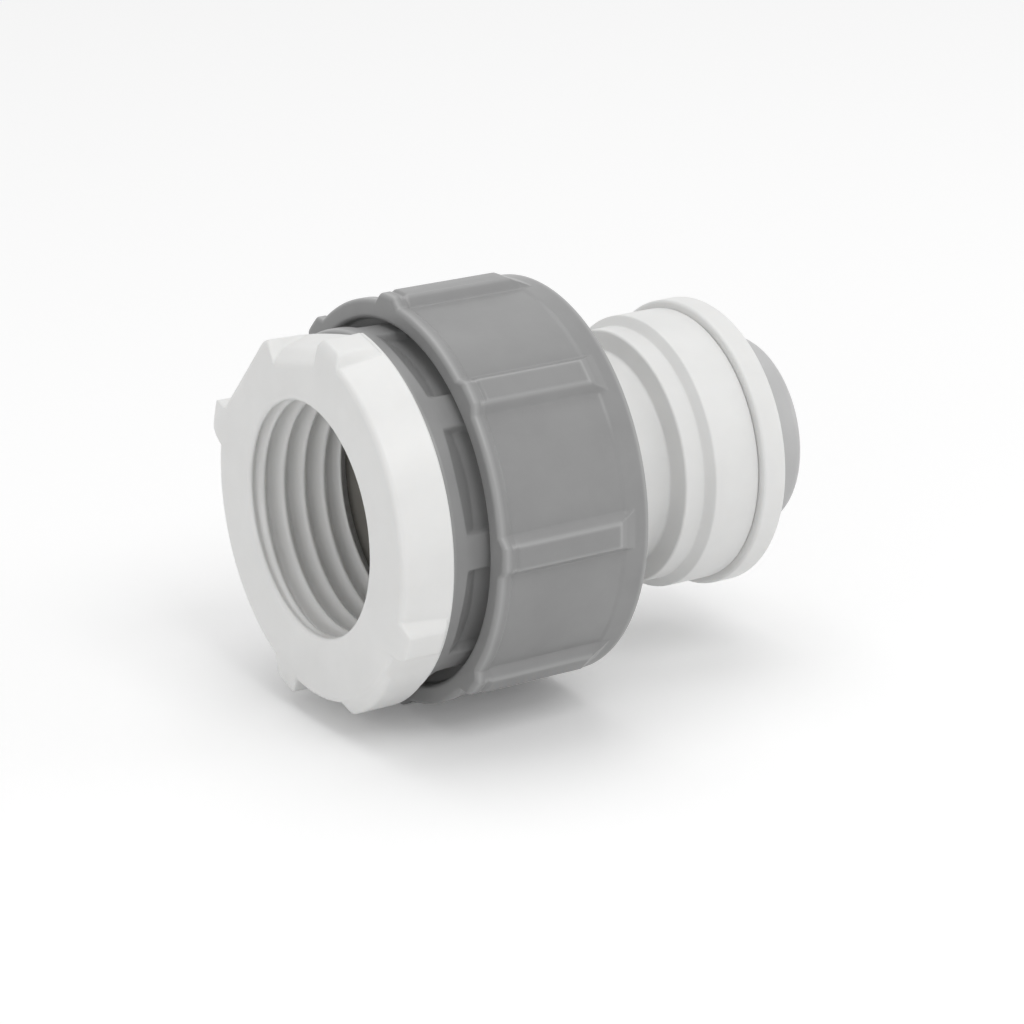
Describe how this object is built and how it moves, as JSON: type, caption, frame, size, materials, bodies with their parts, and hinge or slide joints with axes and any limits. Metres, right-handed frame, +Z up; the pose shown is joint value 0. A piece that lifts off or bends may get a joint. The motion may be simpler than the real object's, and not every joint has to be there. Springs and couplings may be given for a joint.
{
  "type": "tank outlet valve",
  "caption": "Straight tank outlet fitting: lugged flange with a female thread, ribbed union nut, stepped barrel with a spring check valve and a push-fit pipe socket.",
  "frame": {"origin": "on the flow axis, in the plane of the flange's front face", "axes": "+X along the flow from the tank to the pipe, +Z up, +Y to the left as seen from the tank"},
  "size_m": [0.0417, 0.0338, 0.0338],
  "materials": {
    "white_plastic": "smooth moulded, satin",
    "grey_plastic": "smooth moulded, satin",
    "rubber": "matt",
    "washer": "matt",
    "steel": "bright drawn"
  },
  "bodies": {
    "root": {"tank_adaptor": "white_plastic", "tank_washer": "washer", "split_ring": "white_plastic", "valve_body": "white_plastic", "nose_o_ring": "rubber", "check_cage": "white_plastic", "cage_o_ring": "rubber", "poppet_spring": "steel", "spring_guide": "grey_plastic", "pipe_o_ring": "rubber", "o_ring_spacer": "white_plastic", "end_cap": "white_plastic"},
    "thrust_ring": {"slip_ring": "white_plastic"},
    "nut": {"union_nut": "grey_plastic"},
    "valve_disc": {"poppet": "grey_plastic", "poppet_seal": "rubber"},
    "collet": {"release_collet": "grey_plastic", "collet_teeth": "steel"}
  },
  "joints": [
    {"name": "nut_travel", "type": "slide", "parent": "root", "child": "thrust_ring", "axis": [1, 0, 0], "range_m": [0, 0.006]},
    {"name": "nut_turn", "type": "hinge", "parent": "thrust_ring", "child": "nut", "pos_m": [0.013, 0, 0], "axis": [1, 0, 0], "range_deg": [0, 1080]},
    {"name": "poppet_lift", "type": "slide", "parent": "root", "child": "valve_disc", "axis": [1, 0, 0], "range_m": [0, 0.0022], "stiffness_N_per_m": 15, "springref_m": -0.0004, "deforming": ["poppet_spring"]},
    {"name": "collet_press", "type": "slide", "parent": "root", "child": "collet", "axis": [-1, 0, 0], "range_m": [0, 0.0015]}
  ],
  "couplings": [
    {"joint": "nut_turn", "follows": "nut_travel", "rad_per_m": 3141.6}
  ]
}
